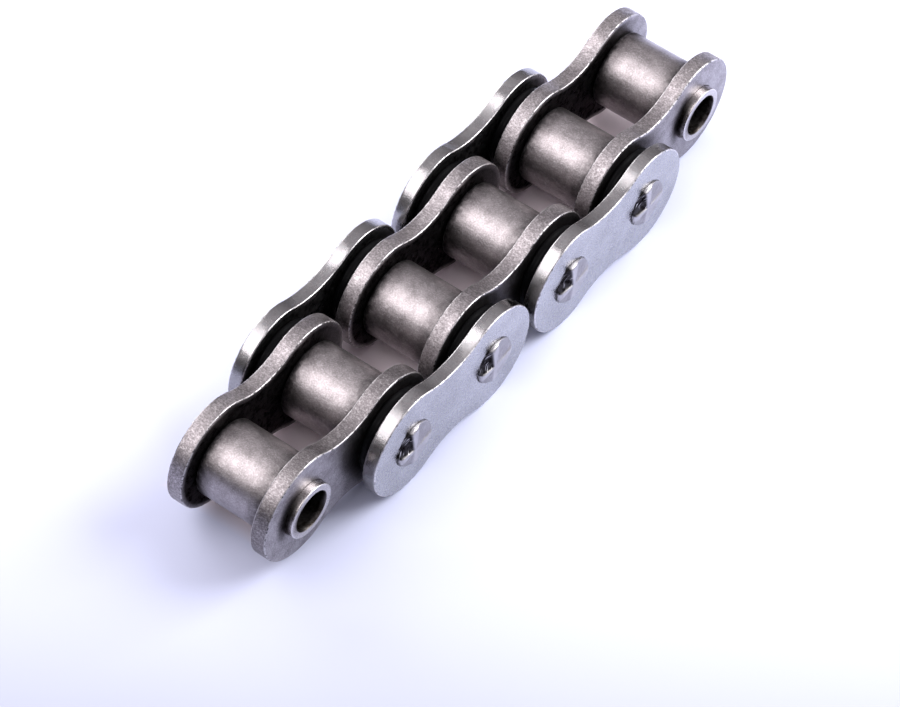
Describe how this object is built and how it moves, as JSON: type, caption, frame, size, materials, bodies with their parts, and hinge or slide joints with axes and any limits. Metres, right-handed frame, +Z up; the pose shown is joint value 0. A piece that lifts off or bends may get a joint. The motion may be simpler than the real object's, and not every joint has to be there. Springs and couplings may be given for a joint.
{
  "type": "sealed roller chain length",
  "caption": "Length of sealed motorcycle roller chain with waisted plates, riveted pins, ring seals and rollers, ending in open bushes",
  "frame": {"origin": "bottom centre of the length of chain as it lies on its plate edges", "axes": "+X along the chain, +Y along the pins towards the far side, +Z up"},
  "size_m": [0.0942, 0.0234, 0.0158],
  "materials": {
    "inner_plate_steel": "dark satin hardened steel",
    "outer_plate_steel": "bright satin plated steel",
    "pin_steel": "satin hardened steel, staked ends",
    "bush_steel": "ground steel",
    "roller_steel": "smooth satin steel",
    "seal_rubber": "oily black nitrile rubber"
  },
  "bodies": {
    "inner_link_1": {"near_inner_plate_1": "inner_plate_steel", "far_inner_plate_1": "inner_plate_steel", "bush_1": "bush_steel", "bush_2": "bush_steel", "near_seal_1": "seal_rubber", "far_seal_1": "seal_rubber"},
    "outer_link_1": {"near_outer_plate_1": "outer_plate_steel", "far_outer_plate_1": "outer_plate_steel", "pin_1": "pin_steel", "pin_2": "pin_steel"},
    "inner_link_2": {"near_inner_plate_2": "inner_plate_steel", "far_inner_plate_2": "inner_plate_steel", "bush_3": "bush_steel", "bush_4": "bush_steel", "near_seal_2": "seal_rubber", "far_seal_2": "seal_rubber", "near_seal_3": "seal_rubber", "far_seal_3": "seal_rubber"},
    "outer_link_2": {"near_outer_plate_2": "outer_plate_steel", "far_outer_plate_2": "outer_plate_steel", "pin_3": "pin_steel", "pin_4": "pin_steel"},
    "inner_link_3": {"near_inner_plate_3": "inner_plate_steel", "far_inner_plate_3": "inner_plate_steel", "bush_5": "bush_steel", "bush_6": "bush_steel", "near_seal_4": "seal_rubber", "far_seal_4": "seal_rubber"},
    "roller_1": {"roller_1": "roller_steel"},
    "roller_2": {"roller_2": "roller_steel"},
    "roller_3": {"roller_3": "roller_steel"},
    "roller_4": {"roller_4": "roller_steel"},
    "roller_5": {"roller_5": "roller_steel"},
    "roller_6": {"roller_6": "roller_steel"}
  },
  "joints": [
    {"name": "pin_1_hinge", "type": "hinge", "parent": "outer_link_1", "child": "inner_link_1", "pos_m": [-0.02383, 0, 0.0074], "axis": [0, 1, 0], "range_deg": [-63.75, 56.25]},
    {"name": "pin_2_hinge", "type": "hinge", "parent": "inner_link_2", "child": "outer_link_1", "pos_m": [-0.00795, 0, 0.0074], "axis": [0, 1, 0], "range_deg": [-60, 60]},
    {"name": "pin_3_hinge", "type": "hinge", "parent": "inner_link_2", "child": "outer_link_2", "pos_m": [0.00792, 0, 0.0074], "axis": [0, -1, 0], "range_deg": [-60, 60]},
    {"name": "pin_4_hinge", "type": "hinge", "parent": "outer_link_2", "child": "inner_link_3", "pos_m": [0.0238, 0, 0.0074], "axis": [0, -1, 0], "range_deg": [-61.6, 58.4]},
    {"name": "roller_1_spin", "type": "hinge", "parent": "inner_link_1", "child": "roller_1", "pos_m": [-0.03967, 0, 0.00844], "axis": [0, 1, 0], "continuous": true},
    {"name": "roller_2_spin", "type": "hinge", "parent": "inner_link_1", "child": "roller_2", "pos_m": [-0.02383, 0, 0.0074], "axis": [0, 1, 0], "continuous": true},
    {"name": "roller_3_spin", "type": "hinge", "parent": "inner_link_2", "child": "roller_3", "pos_m": [-0.00795, 0, 0.0074], "axis": [0, 1, 0], "continuous": true},
    {"name": "roller_4_spin", "type": "hinge", "parent": "inner_link_2", "child": "roller_4", "pos_m": [0.00792, 0, 0.0074], "axis": [0, 1, 0], "continuous": true},
    {"name": "roller_5_spin", "type": "hinge", "parent": "inner_link_3", "child": "roller_5", "pos_m": [0.0238, 0, 0.0074], "axis": [0, 1, 0], "continuous": true},
    {"name": "roller_6_spin", "type": "hinge", "parent": "inner_link_3", "child": "roller_6", "pos_m": [0.03967, 0, 0.00784], "axis": [0, 1, 0], "continuous": true}
  ]
}
